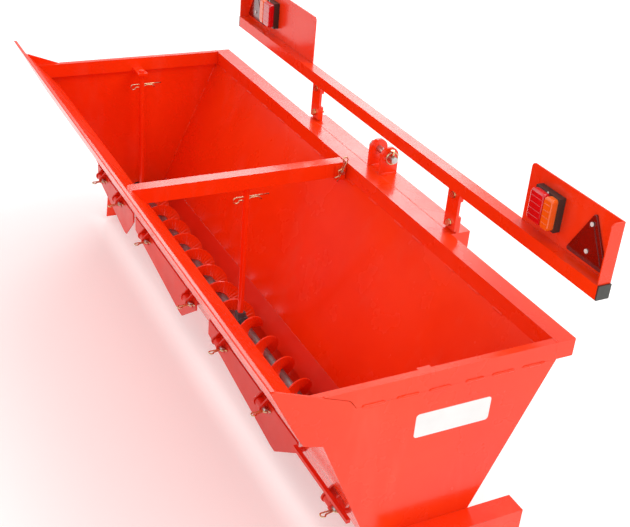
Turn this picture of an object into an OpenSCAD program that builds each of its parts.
// Tractor three-point drop spreader for salt and grit, self-loading hopper.
// Millimetres, +Z up, +X along the hopper, +Y toward the tractor.
// Layout inside the modules: x = 0 at the middle of the hopper rim, y = 0 on the
// outer face of the front rim, z = 0 on the rim top; place() moves it to the frame.

/* [Hopper] */
// Outer length of the hopper over its end plates
hopper_len = 2000; // [1400:10:2600]
// Thickness of the hopper sheet
sheet = 4; // [3:0.5:6]
// Depth from the rim top to the fold of the trough
wall_depth = 475; // [400:5:560]
// Set-back of the front wall at the rim underside
front_top = 44; // [36:1:60]
// Distance of the front wall from the front rim face at the trough fold
front_fold = 240; // [200:5:280]
// Distance of the rear wall from the front rim face at the lip fold
rear_top = 630; // [560:5:680]
// Distance of the rear wall from the front rim face at its bottom edge
rear_fold = 447; // [420:1:480]

/* [Rim] */
// Height of the rim tubes
rim_h = 45; // [35:1:60]
// Width of the front rim tube
rim_front_w = 50; // [40:1:70]
// Width of the end rim tubes
rim_end_w = 18; // [15:1:40]
// Wall of the rim tubes
rim_wall = 3; // [2:0.5:5]

/* [Loading lip] */
// Height of the loading edge above the rim
lip_rise = 41; // [20:1:80]
// Distance of the loading edge from the front rim face
lip_out = 739; // [700:1:780]
// Overhang of the loading edge past the drive end
lip_overhang = 133; // [60:1:160]

/* [Auger] */
// Radius of the agitator flights
flight_r = 55; // [40:1:70]
// Pitch of the agitator flights
flight_pitch = 110; // [80:1:160]
// Radius of the agitator shaft
shaft_r = 15; // [10:1:25]
// Distance of the agitator axis from the front rim face
auger_y = 347; // [320:1:380]
// Depth of the agitator axis below the rim top
auger_z = 500; // [470:1:530]

/* [Hitch] */
// Offset of the three-point hitch from the middle of the hopper
hitch_x = 81; // [-150:1:150]
// Distance between the shoulders of the lower link pins
lower_spread = 683; // [683:1:825]
// Height of the top link pin above the lower link pins
mast_h = 460; // [460:1:510]
// Diameter of the lower link pins
lower_pin_d = 22; // [22:0.1:28]
// Diameter of the top link pin
top_pin_d = 19; // [19:0.1:25.5]
// Gap between the top link ears
ear_gap = 52; // [45:1:60]

/* [Light bar] */
// Side of the square light bar tube
bar_s = 35; // [30:1:50]
// Height of the light bar axis above the rim top
bar_z = 135; // [100:1:200]
// Length of the light bar
bar_len = 1928; // [1200:2:2400]
// Height of the lamp boards above the light bar
board_h = 146; // [120:1:200]

/* [Discharge flaps] */
// Length of each discharge flap
flap_len = 560; // [400:5:600]
// Drop of the long corner of a flap below its hinge tube
flap_drop = 100; // [60:1:120]

/* [Hidden] */

eps = 0.01;
gap = 0.3;
half = hopper_len / 2;
plate_t = 5;
fold_z = -wall_depth;
rear_fold_top_z = -70;
skid_z = -620;
skid_t = 12;
foot_top = -420;
foot_w = 55;
foot_h = 55;
x_min = -half - lip_overhang;
x_max = half + foot_w;
beam_w = 58;
y_min = -lip_out;
y_max = beam_w;
wall_slope = (rear_top - rear_fold) / (wall_depth + rear_fold_top_z);

module place() {
    translate([-(x_min + x_max) / 2, -(y_min + y_max) / 2, -skid_z]) children();
}

// ---------- helpers ----------
// Extrudes a (y, z) outline along x from x0 to x1
module along_x(x0, x1) {
    translate([x0, 0, 0]) rotate([90, 0, 90]) linear_extrude(height = x1 - x0) children();
}
// Box given by its two corners
module span(a, b) { translate(a) cube(b - a); }
// Cylinder along x, y or z
module cyl_x(p, r, l) { translate(p) rotate([0, 90, 0]) cylinder(r = r, h = l, $fn = 48); }
module cyl_y(p, r, l) { translate(p) rotate([-90, 0, 0]) cylinder(r = r, h = l, $fn = 64); }
module cyl_z(p, r, l) { translate(p) cylinder(r = r, h = l, $fn = 64); }
// Sheet strip between two (y, z) points, thickness on the left-hand side
module strip(a, b, t) {
    d = b - a;
    n = [-d[1], d[0]] / norm(d);
    polygon([a, b, b + n * t, a + n * t]);
}
// Rectangular tube along x
module tube_x(x0, x1, y0, y1, z0, z1, w) {
    difference() {
        span([x0, y0, z0], [x1, y1, z1]);
        span([x0 - 1, y0 + w, z0 + w], [x1 + 1, y1 - w, z1 - w]);
    }
}
// Box section along x with closed ends and a drain hole near each end
drain_r = 4;
module closed_x(x0, x1, y0, y1, z0, z1, w) {
    difference() {
        span([x0, y0, z0], [x1, y1, z1]);
        span([x0 + w, y0 + w, z0 + w], [x1 - w, y1 - w, z1 - w]);
        for (x = [x0 + 60, x1 - 60]) cyl_z([x, (y0 + y1) / 2, z0 - 1], drain_r, w + 2);
    }
}
// Rectangular tube along y
module tube_y(x0, x1, y0, y1, z0, z1, w) {
    difference() {
        span([x0, y0, z0], [x1, y1, z1]);
        span([x0 + w, y0 - 1, z0 + w], [x1 - w, y1 + 1, z1 - w]);
    }
}
// Hexagon bolt head and washer on a face looking along -y
module bolt_head_y(p, d) {
    translate(p) rotate([90, 0, 0]) {
        cylinder(r = d, h = 1.6, $fn = 48);
        cylinder(r = d * 0.92, h = 1.6 + d * 0.65, $fn = 6);
    }
}
// R-clip in the x-z plane: straight leg along +x through the origin, eye behind, wavy leg beside it
clip_wire = 2;
clip_joint = clip_wire + 0.15;
clip_wave = 16;
module r_clip(back, ahead, eye) {
    lap = 0.6;
    lean = asin((2 * eye - 2 * clip_wire - 6) / (clip_wave * 1.5));
    cyl_x([-back - lap, 0, 0], clip_wire, back + lap + ahead);
    translate([-back, 0, eye]) rotate([90, 90, 0])
        rotate_extrude(angle = 180, $fn = 32) translate([eye, 0]) circle(r = clip_joint, $fn = 24);
    cyl_x([-back - lap, 0, 2 * eye], clip_wire, back * 0.6 + lap);
    translate([-back * 0.4, 0, 2 * eye]) {
        sphere(r = clip_joint, $fn = 32);
        rotate([0, lean, 0]) cyl_x([0, 0, 0], clip_wire, clip_wave);
    }
}

// ---------- hopper ----------
front_in_top = [-front_top - sheet - 1, -rim_h];
front_fold_pt = [-front_fold, fold_z];
rear_top_pt = [-rear_top, rear_fold_top_z];
rear_fold_pt = [-rear_fold, fold_z];
trough_r = flight_r + 8;
trough_front_pt = [-auger_y + trough_r * cos(-20), -auger_z + trough_r * sin(-20)];
trough_end_a = -168;
// Outline of an end plate in the y-z plane
module end_outline() {
    polygon([[-front_top, -rim_h - gap], [-front_fold + sheet, fold_z],
        [-front_fold + sheet - 22, -585], [-front_fold - 22, skid_z + skid_t + gap],
        [-rear_fold - 20, skid_z + skid_t + gap],
        [-rear_fold - sheet - 6, fold_z], [-612, -124], [-658, -110],
        [-lip_out + 3, lip_rise - 3], [-lip_out + 12, lip_rise - 1], [-561, -26 + 2], [-545, -rim_h - gap]]);
}
module end_plate(x0) {
    difference() {
        along_x(x0, x0 + plate_t) end_outline();
        cyl_x([x0 - 1, -auger_y, -auger_z], shaft_r + 4, plate_t + 2);
    }
}
module end_plate_near() { color("orangered") end_plate(half - plate_t); }
module end_plate_far() {
    u = (lip_a - lip_c) / norm(lip_a - lip_c);
    n = [-u[1], u[0]];
    color("orangered") difference() {
        end_plate(-half);
        // stays inside the outer face of the lip
        along_x(-half - 1, -half + plate_t + 1)
            polygon([lip_a + 40 * u - 4.2 * n, lip_c - 40 * u - 4.2 * n, lip_c - 40 * u + 60 * n, lip_a + 40 * u + 60 * n]);
        // and under its top land
        along_x(-half - 1, -half + plate_t + 1) translate([-lip_out, lip_rise - 4.5]) square([15.5, 10]);
    }
}

wall_x = half - plate_t - gap;
module front_wall() {
    color("orangered") along_x(-wall_x, wall_x)
        strip(front_fold_pt, front_in_top + [0, -gap], -sheet);
}
module rear_wall() {
    color("orangered") along_x(-wall_x, wall_x)
        strip(rear_fold_pt, rear_top_pt, sheet);
}
// Lower trough: sloping front facet, round bottom under the agitator, open to the rear
module trough() {
    color("firebrick") along_x(-wall_x, wall_x) {
        strip(trough_front_pt, front_fold_pt + [0, -gap], -sheet);
        intersection() {
            translate([-auger_y, -auger_z]) difference() {
                circle(r = trough_r + sheet, $fn = 96);
                circle(r = trough_r, $fn = 96);
            }
            polygon([[-auger_y, -auger_z], [-auger_y + 150 * cos(-20), -auger_z + 150 * sin(-20)],
                [-auger_y + 150, -auger_z - 150], [-auger_y - 150, -auger_z - 150],
                [-auger_y + 150 * cos(trough_end_a), -auger_z + 150 * sin(trough_end_a)]]);
        }
    }
}
module rim_front() {
    color("orangered") closed_x(-half, half, -rim_front_w, 0, -rim_h, 0, rim_wall);
}
// Inner face of the flared lip at height z
function flare_y(z) = -rear_top - (z - rear_fold_top_z) * (lip_out - 12 - rear_top) / (lip_rise - 1 - rear_fold_top_z);
// Cuts a tube along the flare of the lip
module flare_cut(x0, x1) {
    along_x(x0, x1)
        polygon([[-lip_out - 10, 10], [flare_y(10) + 0.8, 10], [flare_y(-rim_h - 10) + 0.8, -rim_h - 10], [-lip_out - 10, -rim_h - 10]]);
}
// End rim tube: runs to the flare behind the raised cheek; side = 1 for the near end
module end_rim(side) {
    x0 = side > 0 ? half - rim_end_w : -half;
    xc = side > 0 ? half - plate_t - gap : -half - 1;
    difference() {
        tube_y(x0, x0 + rim_end_w, -lip_out, -rim_front_w - gap, -rim_h, 0, rim_wall);
        flare_cut(x0 - 1, x0 + rim_end_w + 1);
        along_x(xc, xc + plate_t + gap + 1)
            polygon([[-lip_out - 5, lip_rise], lip_in + [0.5, 1.2], [-560, -23], [-543.5, -rim_h - 1], [-lip_out - 5, -rim_h - 1]]);
    }
}
module rim_near() { color("orangered") end_rim(1); }
module rim_far() { color("orangered") end_rim(-1); }

// Flared loading edge: inner flare, narrow top land, folded outer face, return flange
lip_in = [-lip_out + 12, lip_rise - 1];
lip_a = [-lip_out, lip_rise];
lip_c = [-660, -108];
lip_d = [-614, -123.5];
module lip_profile() {
    strip(rear_top_pt + [-0.2, 1.3], lip_in, 3);
    strip(lip_in + [-0.5, 0], lip_a + [3, 0], 3);
    strip(lip_a, lip_c, 3);
    strip(lip_c + [1.2, 0.5], lip_d + [0.6, 0.5], 3);
    translate(lip_in + [-10, -2.4]) square([8, 2.4]);
}
module loading_lip() {
    color("orangered") difference() {
        along_x(-half - lip_overhang, half - plate_t - gap) lip_profile();
        // room for the end plate and nothing but the raked outer face beyond it
        along_x(-half - gap, -half + plate_t + gap) end_clearance();
        along_x(-half - lip_overhang - 1, -half - gap + eps)
            polygon([lip_in + [-2, 4], lip_in + [60, 4], [-560, -160], lip_d, lip_c + [3.2, 0.2], lip_a + [3.3, -2.8], lip_in + [-2, -3.3]]);
        // raked end
        rotate([90, 0, 0]) translate([0, 0, 600]) linear_extrude(height = 200)
            polygon([[-half - lip_overhang - 1, lip_rise + 1], [-half - lip_overhang + 4, lip_rise - 8], [-half + 6, -140], [-half - lip_overhang - 1, -140]]);
    }
}
// Space an end plate takes inside the folded lip, leaving its outer face whole
module end_clearance() {
    polygon([lip_in + [4, 4], [-560, 4], [-560, -200], lip_d + [-1, -6], lip_c + [4, 0.6], lip_a + [3.8, -2], lip_in + [-3, -3]]);
}

// ---------- crossbar and hangers ----------
bar_w = 36;
cross_x = -5;
cross_front = -rim_front_w - 4;
cross_top = -0.5;
cross_pin = [cross_x, cross_front - 16, -24];
cross_pin_r = 6;
cheek_in = bar_w / 2 + 1;
cheek_t = 6;
module crossbar() {
    color("orangered") difference() {
        tube_y(cross_x - bar_w / 2, cross_x + bar_w / 2, -lip_out, cross_front, -rim_h, cross_top, 3);
        // rear end cut to the slope of the lip
        flare_cut(cross_x - 40, cross_x + 40);
        cyl_x([cross_x - 40, cross_pin[1], cross_pin[2]], cross_pin_r + 0.3, 80);
        cyl_z([cross_x, rod_y, -rim_h - 1], rod_r + gap, rim_h - 8);
    }
}
// Open saddle on the front rim that takes the end of the crossbar
module crossbar_bracket() {
    color("orangered") difference() {
        union() {
            span([cross_x - cheek_in - cheek_t, -rim_front_w - 36, -rim_h - 7], [cross_x + cheek_in + cheek_t, -rim_front_w - 3.4, -rim_h - 1]);
            for (s = [-1, 1]) {
                x0 = s < 0 ? cross_x - cheek_in - cheek_t : cross_x + cheek_in;
                span([x0, -rim_front_w - 36, -rim_h - 7], [x0 + cheek_t, -rim_front_w - 3.4, -7]);
            }
        }
        cyl_x([cross_x - 60, cross_pin[1], cross_pin[2]], cross_pin_r + 0.02, 120);
    }
}
cross_pin_half = cheek_in + cheek_t;
module crossbar_pin() {
    color("lightgrey") difference() {
        union() {
            cyl_x(cross_pin + [-cross_pin_half - 2, 0, 0], cross_pin_r, 2 * cross_pin_half + 2 + 16);
            cyl_x(cross_pin + [-cross_pin_half - 6, 0, 0], 11, 5);
        }
        translate(cross_pin + [cross_pin_half + 8, 0, 0]) rotate([-24, 0, 0])
            cylinder(r = clip_wire + 0.05, h = 40, center = true, $fn = 48);
    }
}
module crossbar_clip() {
    color("gold") translate(cross_pin + [cross_pin_half + 8, 0, 0]) rotate([-24, 0, 0])
        rotate([0, 90, 90]) rotate([90, 0, 0]) rotate([90, 0, 0]) r_clip(38, 26, 7);
}
rod_r = 9;
rod_y = -auger_y - 5;
hanger_x = [-930, cross_x, 955];
hanger_top = [-26, -12, -26];
rod_bottom = -auger_z + shaft_r + 12;
hanger_clip_z = -76;
module hanger_rods() {
    color("orangered") for (i = [0:2]) difference() {
        cyl_z([hanger_x[i], rod_y, rod_bottom], rod_r, hanger_top[i] - rod_bottom);
        cyl_y([hanger_x[i], rod_y - 20, hanger_clip_z], clip_wire + 0.05, 40);
    }
}
// Plain bearing under each rod
module hanger_bearings() {
    color("dimgrey") for (hx = hanger_x) difference() {
        union() {
            cyl_x([hx - 13, -auger_y, -auger_z], shaft_r + 11, 26);
            span([hx - 12, rod_y - 13, -auger_z + shaft_r], [hx + 12, rod_y + 13, rod_bottom + 14]);
        }
        cyl_x([hx - 20, -auger_y, -auger_z], shaft_r + 0.06, 40);
        cyl_z([hx, rod_y, rod_bottom], rod_r, 40);
    }
}
module hanger_clips() {
    color("gold") for (hx = hanger_x)
        translate([hx, rod_y, hanger_clip_z]) rotate([0, 0, 90]) rotate([-90, 0, 0]) r_clip(30, 70, 9);
}
// Lugs that hold the outer rods under the end rims
module hanger_lugs() {
    color("orangered") for (s = [-1, 1]) difference() {
        span([s < 0 ? -half + rim_end_w + gap : hanger_x[2] - 18, rod_y - 16, -40],
            [s < 0 ? hanger_x[0] + 18 : half - rim_end_w - gap, rod_y + 16, -32]);
        cyl_z([s < 0 ? hanger_x[0] : hanger_x[2], rod_y, -60], rod_r, 60);
    }
}

// ---------- agitator ----------
// Swept ribbon along x: hand = 1 right-hand, -1 left-hand
module flight(x0, len, hand) {
    steps = 26;
    n = ceil(len / flight_pitch * steps);
    ft = 2.5;
    function ring(i) = let (a = hand * 360 * i / steps, x = x0 + len * i / n)
        [[x - ft, (shaft_r + 0.15) * cos(a), (shaft_r + 0.15) * sin(a)], [x + ft, (shaft_r + 0.15) * cos(a), (shaft_r + 0.15) * sin(a)],
         [x + ft, flight_r * cos(a), flight_r * sin(a)], [x - ft, flight_r * cos(a), flight_r * sin(a)]];
    pts = [for (i = [0:n]) each ring(i)];
    faces = concat([[0, 1, 2, 3]], [[4 * n + 3, 4 * n + 2, 4 * n + 1, 4 * n]],
        [for (i = [0:n - 1], k = [0:3]) let (a = 4 * i + k, b = 4 * i + (k + 1) % 4) each [[a, a + 4, b], [b, a + 4, b + 4]]]);
    translate([0, -auger_y, -auger_z]) polyhedron(points = pts, faces = faces, convexity = 10);
}
flight_len = 880;
module auger_flight_far() { color("orangered") flight(-908, flight_len, -1); }
module auger_flight_near() { color("orangered") flight(28, flight_len, 1); }
module auger_shaft() {
    color("silver") cyl_x([-half - 30, -auger_y, -auger_z], shaft_r, 2 * half + 42);
}
// Two-bolt bearing on the near end plate, under the foot tube
module end_bearing() {
    color("dimgrey") difference() {
        union() {
            span([half + gap, -auger_y - 40, -auger_z - 18], [half + gap + 9, -auger_y + 40, -auger_z + 18]);
            cyl_x([half + gap, -auger_y, -auger_z], 21, 24);
        }
        cyl_x([half - 1, -auger_y, -auger_z], shaft_r + 0.05, 40);
    }
    color("silver") for (s = [-1, 1])
        translate([half + gap + 9.2, -auger_y + s * 31, -auger_z]) rotate([0, 90, 0]) cylinder(r = 7, h = 6, $fn = 6);
}
drive_plate_x = -half - foot_w - gap;
drive_plate_t = 8;
module drive_plate() {
    color("orangered") difference() {
        span([drive_plate_x - drive_plate_t, -auger_y - 70, -auger_z - 70], [drive_plate_x, -auger_y + 70, -auger_z + 70]);
        cyl_x([drive_plate_x - 20, -auger_y, -auger_z], 24, 40);
    }
    color("orangered") for (s = [-1, 1])
        cyl_x([drive_plate_x + gap, -auger_y + s * 30, -auger_z - 56], 9, foot_w - gap);
}
motor_x = drive_plate_x - drive_plate_t - gap;
stub_r = 12;
port_r = 9.3;
port_deep = 14;
port_dy = 17;
port_top = 62;
module drive_motor() {
    color("dimgrey") difference() {
        union() {
            cyl_x([motor_x - 10, -auger_y, -auger_z], 52, 10);
            cyl_x([motor_x - 48, -auger_y, -auger_z], 42, 38.1);
            span([motor_x - 46, -auger_y - 34, -auger_z], [motor_x - 12, -auger_y + 34, -auger_z + port_top]);
        }
        cyl_x([motor_x - 26, -auger_y, -auger_z], stub_r + 0.06, 30);
        for (s = [-1, 1]) cyl_z([motor_x - 29, -auger_y + s * port_dy, -auger_z + port_top - port_deep], port_r, port_deep + 5);
    }
}
module drive_coupling() {
    color("silver") difference() {
        union() {
            cyl_x([-half - 52, -auger_y, -auger_z], 22, 44);
            cyl_x([motor_x - 24, -auger_y, -auger_z], stub_r, -half - 52 - motor_x + 24.1);
        }
        cyl_x([-half - 30, -auger_y, -auger_z], shaft_r, 40);
    }
}

// ---------- three-point hitch ----------
beam_len = 826;
beam_x0 = hitch_x - beam_len / 2;
beam_x1 = hitch_x + beam_len / 2;
beam_h = 60;
pin_y = beam_w / 2;
top_pin_z = 50;
lower_pin_z = top_pin_z - mast_h;
post_w = 60;
post_out = lower_spread / 2;
module hitch_beam() {
    color("orangered") closed_x(beam_x0, beam_x1, gap, beam_w, -beam_h, 0, 4);
}
module hitch_posts() {
    color("orangered") for (s = [-1, 1]) {
        x0 = s < 0 ? hitch_x - post_out : hitch_x + post_out - post_w;
        difference() {
            span([x0, gap, lower_pin_z - 55], [x0 + post_w, beam_w, -beam_h - gap]);
            span([x0 + 4, gap + 4, lower_pin_z - 60], [x0 + post_w - 4, beam_w - 4, -beam_h]);
            cyl_x([x0 - 1, pin_y, lower_pin_z], lower_pin_d / 2, post_w + 2);
        }
    }
}
module hitch_crosstube() {
    color("orangered") tube_x(hitch_x - post_out + post_w + gap, hitch_x + post_out - post_w - gap,
        gap, beam_w, lower_pin_z - 50, lower_pin_z + 10, 4);
}
front_slope = (front_fold - front_top - sheet - 1) / (wall_depth - rim_h - gap);
// Outer face of the front wall at height z
function front_y(z) = front_in_top[0] + sheet / cos(atan(front_slope)) + (z + rim_h + gap) * front_slope;
// Struts from the posts back to the front wall
module hitch_struts() {
    color("orangered") for (s = [-1, 1]) {
        xc = hitch_x + s * (post_out - post_w / 2);
        along_x(xc - 5, xc + 5)
            polygon([[-gap, lower_pin_z - 50], [-gap, lower_pin_z + 30], [-0.5 - gap, -rim_h - 40],
                [front_y(-rim_h - 34) + gap, -rim_h - 34], [front_y(fold_z + 12) + gap, fold_z + 12], [front_y(fold_z + 12) + 20, lower_pin_z - 50]]);
    }
}
lower_len = 75;
module lower_pin(s) {
    xs = hitch_x + s * post_out;
    difference() {
        union() {
            cyl_x([s > 0 ? xs - post_w : xs - lower_len, pin_y, lower_pin_z], lower_pin_d / 2, post_w + lower_len);
            cyl_x([s > 0 ? xs + gap : xs - 8 - gap, pin_y, lower_pin_z], 20, 8);
        }
        cyl_y([xs + s * (lower_len - 13), pin_y - 30, lower_pin_z], 5.5, 60);
    }
}
module lower_pin_left() { color("silver") lower_pin(-1); }
module lower_pin_right() { color("silver") lower_pin(1); }
ear_t = 10;
ear_w = 56;
ear_r = ear_w / 2;
// Rounded ears of the top link
module top_ears() {
    color("orangered") for (s = [-1, 1]) {
        x0 = hitch_x + (s < 0 ? -ear_gap / 2 - ear_t : ear_gap / 2);
        difference() {
            union() {
                cyl_x([x0, pin_y, top_pin_z], ear_r, ear_t);
                span([x0, pin_y - ear_r, gap], [x0 + ear_t, pin_y + ear_r, top_pin_z]);
            }
            cyl_x([x0 - 1, pin_y, top_pin_z], top_pin_d / 2 + 0.25, ear_t + 2);
        }
    }
}
pin_near = 28;
module top_pin() {
    color("silver") difference() {
        union() {
            cyl_x([hitch_x - ear_gap / 2 - ear_t - 12, pin_y, top_pin_z], top_pin_d / 2,
                ear_gap + 2 * ear_t + 12 + pin_near);
            cyl_x([hitch_x - ear_gap / 2 - ear_t - 20, pin_y, top_pin_z], 16, 8);
        }
        cyl_z([linch_x, pin_y, top_pin_z - 30], 4.4, 60);
    }
}
linch_x = hitch_x + ear_gap / 2 + ear_t + 12;
linch_head = top_pin_z + top_pin_d / 2;
module linchpin() {
    color("gold") difference() {
        union() {
            cyl_z([linch_x, pin_y, linch_head - 23.5], 4.2, 25);
            cyl_z([linch_x, pin_y, linch_head + 1], 5.6, 14);
        }
        cyl_y([linch_x, pin_y - 20, linch_head + 9], 3.4, 40);
    }
}
ring_r = 18;
module linchpin_ring() {
    color("gold") translate([linch_x, pin_y, linch_head + 9 - ring_r]) rotate([0, 90, 0])
        rotate_extrude($fn = 72) translate([ring_r, 0]) circle(r = 2, $fn = 24);
}

// ---------- light bar ----------
bar_y = 11;
bar_x1 = 1031;
bar_x0 = bar_x1 - bar_len;
bar_lo = bar_z - bar_s / 2;
bar_hi = bar_z + bar_s / 2;
upright_x = [hitch_x - 392, hitch_x + 389];
upright_w = 50;
module light_bar() {
    color("orangered") tube_x(bar_x0, bar_x1, bar_y - bar_s / 2, bar_y + bar_s / 2, bar_lo, bar_hi, 3);
    color("orangered") for (ux = upright_x) difference() {
        span([ux - upright_w / 2, bar_y + 3.3, bar_lo - 28], [ux + upright_w / 2, bar_y + 9.3, bar_lo]);
        cyl_y([ux, bar_y - 10, bar_lo - 16], 5.2, 40);
    }
}
module bar_end_caps() {
    color("black") for (e = [[bar_x1 + gap / 3, 4], [bar_x0 - 4 - gap / 3, 4]])
        span([e[0], bar_y - bar_s / 2, bar_lo], [e[0] + e[1], bar_y + bar_s / 2, bar_hi]);
}
upright_y0 = bar_y - 5;
module bar_uprights() {
    color("orangered") for (ux = upright_x) difference() {
        span([ux - upright_w / 2, upright_y0, 6], [ux + upright_w / 2, upright_y0 + 8, bar_lo - 0.5]);
        for (z = [22, bar_lo - 16]) cyl_y([ux, upright_y0 - 5, z], 5.2, 20);
    }
}
module upright_lugs() {
    color("orangered") for (ux = upright_x) difference() {
        span([ux - upright_w / 2, upright_y0 + 8.3, gap], [ux + upright_w / 2, upright_y0 + 16.3, 46]);
        cyl_y([ux, upright_y0, 22], 5.2, 40);
    }
}
module upright_bolts() {
    color("gold") for (ux = upright_x) {
        for (z = [22, bar_lo - 16]) {
            bolt_head_y([ux, upright_y0 - 0.2, z], 10);
            cyl_y([ux, upright_y0 - 0.3, z], 5, z > 50 ? 24 : 32);
        }
    }
}
board_y = bar_y + bar_s / 2;
board_t = 3;
// Lamp board with a folded end flange toward the rear; side = 1 for a flange at the +x end
module lamp_board(x0, x1, side) {
    r = 12;
    xf = side > 0 ? x1 - board_t : x0;
    translate([0, board_y - board_t, 0]) rotate([90, 0, 0]) translate([0, 0, -board_t]) linear_extrude(height = board_t) {
        difference() {
            translate([x0, bar_hi + gap]) square([x1 - x0, board_h - gap]);
            xc = side > 0 ? x0 : x1;
            translate([xc - (side > 0 ? 1 : r - 1), bar_hi + board_h - r + 1]) difference() {
                square([r, r]);
                translate([side > 0 ? r + 1 : -1, -1]) circle(r = r, $fn = 48);
            }
        }
    }
    along_x(xf, xf + board_t) difference() {
        translate([bar_y - bar_s / 2, bar_hi + gap]) square([bar_s, board_h - gap]);
        translate([bar_y - bar_s / 2 - 1, bar_hi + board_h - r + 1]) difference() {
            square([r, r]);
            translate([r + 1, -1]) circle(r = r, $fn = 48);
        }
    }
}
module lamp_board_near() { color("orangered") lamp_board(719, bar_x1, 1); }
module lamp_board_far() { color("orangered") lamp_board(bar_x0, -388, -1); }
lamp_w = 84;
lamp_h = 83;
lamp_d = 35;
lamp_z = bar_hi + 31;
lamp_x = [767, -733];
lamp_face = board_y - board_t - gap;
module lamp_housings() {
    color("black") for (lx = lamp_x)
        span([lx, lamp_face - 18, lamp_z], [lx + lamp_w, lamp_face, lamp_z + lamp_h]);
}
// Lens block: from = share of the width where it starts
module lens(lx, a, b) {
    span([lx + 3 + a * (lamp_w - 6), lamp_face - lamp_d, lamp_z + 3],
        [lx + 3 + b * (lamp_w - 6), lamp_face - 18 - gap, lamp_z + lamp_h - 3]);
}
module lamp_lens_red() {
    color("red") { lens(lamp_x[0], 0, 0.62); lens(lamp_x[1], 0.38, 1); }
}
module lamp_lens_amber() {
    color("orange") { lens(lamp_x[0], 0.63, 1); lens(lamp_x[1], 0, 0.37); }
}
tri_side = 150;
tri_x = [881 + tri_side / 2 - 4, bar_x0 + 4 + tri_side / 2];
tri_z = bar_hi + 10;
module reflectors() {
    color("darkred") for (tx = tri_x) translate([tx, lamp_face - gap, tri_z]) rotate([90, 0, 0])
        linear_extrude(height = 6)
            polygon([[-tri_side / 2 + 2, 2], [tri_side / 2 - 6, 2], [tri_side / 2 - 6, 6], [3, tri_side * 0.84], [-3, tri_side * 0.84], [-tri_side / 2 + 2, 6]]);
}
module reflector_rivets() {
    color("white") for (tx = tri_x, dz = [27, 92])
        cyl_y([tx - 1, lamp_face - gap - 6 - 2.5, tri_z + dz], 5, 2.3);
}

// ---------- discharge flaps ----------
hinge_y = -512;
hinge_z = -400;
pin_r = 6;
eye_r = 10;
lug_t = 5;
lug_gap = 30;
flap_t = 5;
flap_back = 10.5;
rail_lo = -384;
rail_hi = -374;
// Start and length of each flap, and the middles of its two hinges
flap_span = [[-976, flap_len - 154], [-546, flap_len - 4], [112, flap_len + 17]];
flap_hinge = [[-900, -712], [-430, -34], [211, 499]];
// Pin that holds the near end of the edge rail
rail_hinge = 884;
all_hinges = concat(flap_hinge[0], flap_hinge[1], flap_hinge[2], [rail_hinge]);
// Distance of the outer face of the rear wall at height z
function wall_y(z) = -rear_fold - sheet / cos(atan(wall_slope)) - (z - fold_z) * wall_slope;
// Pair of lugs welded to the rear wall around one hinge eye
module hinge_lugs(x) {
    for (s = [-1, 1]) {
        x0 = x + s * (lug_gap / 2 + lug_t / 2) - lug_t / 2;
        difference() {
            union() {
                cyl_x([x0, hinge_y, hinge_z], eye_r + 3, lug_t);
                along_x(x0, x0 + lug_t) polygon([[hinge_y - eye_r - 3, hinge_z], [hinge_y - 2, hinge_z - eye_r - 2.8],
                    [wall_y(hinge_z - 13) - gap, hinge_z - 13], [wall_y(hinge_z + 30) - gap, hinge_z + 30], [hinge_y - 6, hinge_z + 11.4]]);
            }
            cyl_x([x0 - 1, hinge_y, hinge_z], pin_r + 0.02, lug_t + 2);
        }
    }
}
module hinge_rail() {
    color("firebrick") for (x = all_hinges) hinge_lugs(x);
    // eye of the edge rail
    color("firebrick") difference() {
        union() {
            cyl_x([rail_hinge - lug_gap / 2 + 1, hinge_y, hinge_z], eye_r, lug_gap - 2);
            span([rail_hinge - 10, hinge_y - 6, hinge_z + 2], [rail_hinge + 10, hinge_y + 2, rail_lo + 1]);
        }
        cyl_x([rail_hinge - lug_gap, hinge_y, hinge_z], pin_r, 2 * lug_gap);
    }
    // edge rail beyond the near flap with its two stays
    color("firebrick") span([704, hinge_y - 8, rail_lo], [half - 24, hinge_y + 2, rail_hi]);
    color("firebrick") for (gx = [716, half - 60])
        along_x(gx, gx + 8) polygon([[hinge_y + 2, rail_hi], [hinge_y + 2, rail_lo], [wall_y(rail_lo) - gap, rail_lo], [wall_y(rail_hi) - gap, rail_hi]]);
}
module flap(i) {
    x0 = flap_span[i][0];
    len = flap_span[i][1];
    difference() {
        // plate with a slanted lower edge and a raked near end
        translate([0, hinge_y + flap_back + flap_t, 0]) rotate([90, 0, 0]) linear_extrude(height = flap_t)
            polygon([[x0, hinge_z + 16], [x0, hinge_z - 32], [x0 + len * 0.76, hinge_z - flap_drop],
                [x0 + len * 0.8, hinge_z - flap_drop], [x0 + len, hinge_z - 16], [x0 + len, hinge_z + 16]]);
        // slots around the fixed lugs
        for (x = flap_hinge[i], s = [-1, 1]) {
            xm = x + s * (lug_gap / 2 + lug_t / 2);
            span([xm - lug_t / 2 - 1, hinge_y - 30, hinge_z - 21], [xm + lug_t / 2 + 1, hinge_y + 25, hinge_z + 21]);
        }
    }
    for (x = flap_hinge[i]) difference() {
        union() {
            cyl_x([x - lug_gap / 2 + 1, hinge_y, hinge_z], eye_r, lug_gap - 2);
            span([x - lug_gap / 2 + 1, hinge_y, hinge_z - eye_r], [x + lug_gap / 2 - 1, hinge_y + flap_back + 0.1, hinge_z + eye_r]);
        }
        cyl_x([x - lug_gap / 2, hinge_y, hinge_z], pin_r + 0.08, lug_gap);
    }
}
module flap_far() { color("firebrick") flap(0); }
module flap_mid() { color("firebrick") flap(1); }
module flap_near() { color("firebrick") flap(2); }
pin_half = lug_gap / 2 + lug_t;
pin_tail = 14;
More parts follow.
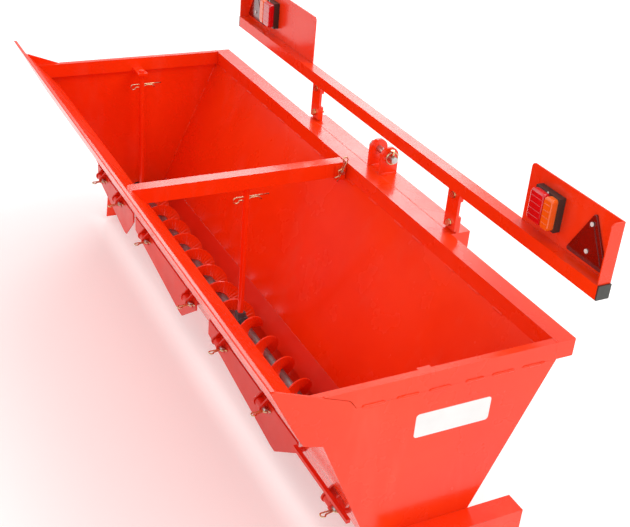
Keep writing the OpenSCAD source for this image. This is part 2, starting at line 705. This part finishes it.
module flap_pins() {
    color("silver") for (x = all_hinges) difference() {
        union() {
            cyl_x([x - pin_half - 1, hinge_y, hinge_z], pin_r, 2 * pin_half + 1 + pin_tail);
            cyl_x([x - pin_half - 5, hinge_y, hinge_z], 9, 4.5);
        }
        cyl_y([x + pin_half + pin_tail / 2, hinge_y - 20, hinge_z], clip_wire + 0.05, 40);
    }
}
module flap_clips() {
    color("gold") for (x = all_hinges)
        translate([x + pin_half + pin_tail / 2, hinge_y, hinge_z])
            rotate([90, 0, 0]) rotate([0, 90, 0]) r_clip(34, 9, 6.5);
}

// ---------- feet ----------
foot_y1 = -94;
foot_y0 = -420;
module foot_tubes() {
    color("orangered") for (s = [-1, 1]) {
        x0 = s > 0 ? half + gap : -half - foot_w;
        difference() {
            span([x0, foot_y0, foot_top - foot_h], [x0 + foot_w - gap, foot_y1, foot_top]);
            span([x0 + 4, foot_y0 + 4, foot_top - foot_h + 4], [x0 + foot_w - gap - 4, foot_y1 - 4, foot_top - 4]);
            cyl_z([x0 + foot_w / 2, foot_y1 - 20, foot_top - foot_h - 1], drain_r, 6);
        }
        // stand legs
        for (leg = [[foot_y0 + 2, 28], [foot_y1 - 90, 60]])
            span([x0 + 5, leg[0], skid_z + skid_t + gap], [x0 + foot_w - gap - 5, leg[0] + leg[1], foot_top - foot_h - gap]);
    }
}
module skids() {
    color("dimgrey") for (s = [-1, 1]) {
        x0 = s > 0 ? half - plate_t : -half - foot_w;
        span([x0, foot_y0, skid_z], [x0 + foot_w + plate_t, foot_y1, skid_z + skid_t]);
    }
}

place() end_plate_near();
place() end_plate_far();
place() front_wall();
place() rear_wall();
place() trough();
place() rim_front();
place() rim_near();
place() rim_far();
place() loading_lip();
place() crossbar();
place() crossbar_bracket();
place() crossbar_pin();
place() crossbar_clip();
place() hanger_rods();
place() hanger_bearings();
place() hanger_clips();
place() hanger_lugs();
place() auger_shaft();
place() auger_flight_far();
place() auger_flight_near();
place() end_bearing();
place() drive_plate();
place() drive_motor();
place() drive_coupling();
place() hitch_beam();
place() hitch_posts();
place() hitch_crosstube();
place() hitch_struts();
place() lower_pin_left();
place() lower_pin_right();
place() top_ears();
place() top_pin();
place() linchpin();
place() linchpin_ring();
place() light_bar();
place() bar_end_caps();
place() bar_uprights();
place() upright_lugs();
place() upright_bolts();
place() lamp_board_near();
place() lamp_board_far();
place() lamp_housings();
place() lamp_lens_red();
place() lamp_lens_amber();
place() reflectors();
place() reflector_rivets();
place() hinge_rail();
place() flap_far();
place() flap_mid();
place() flap_near();
place() flap_pins();
place() flap_clips();
place() foot_tubes();
place() skids();
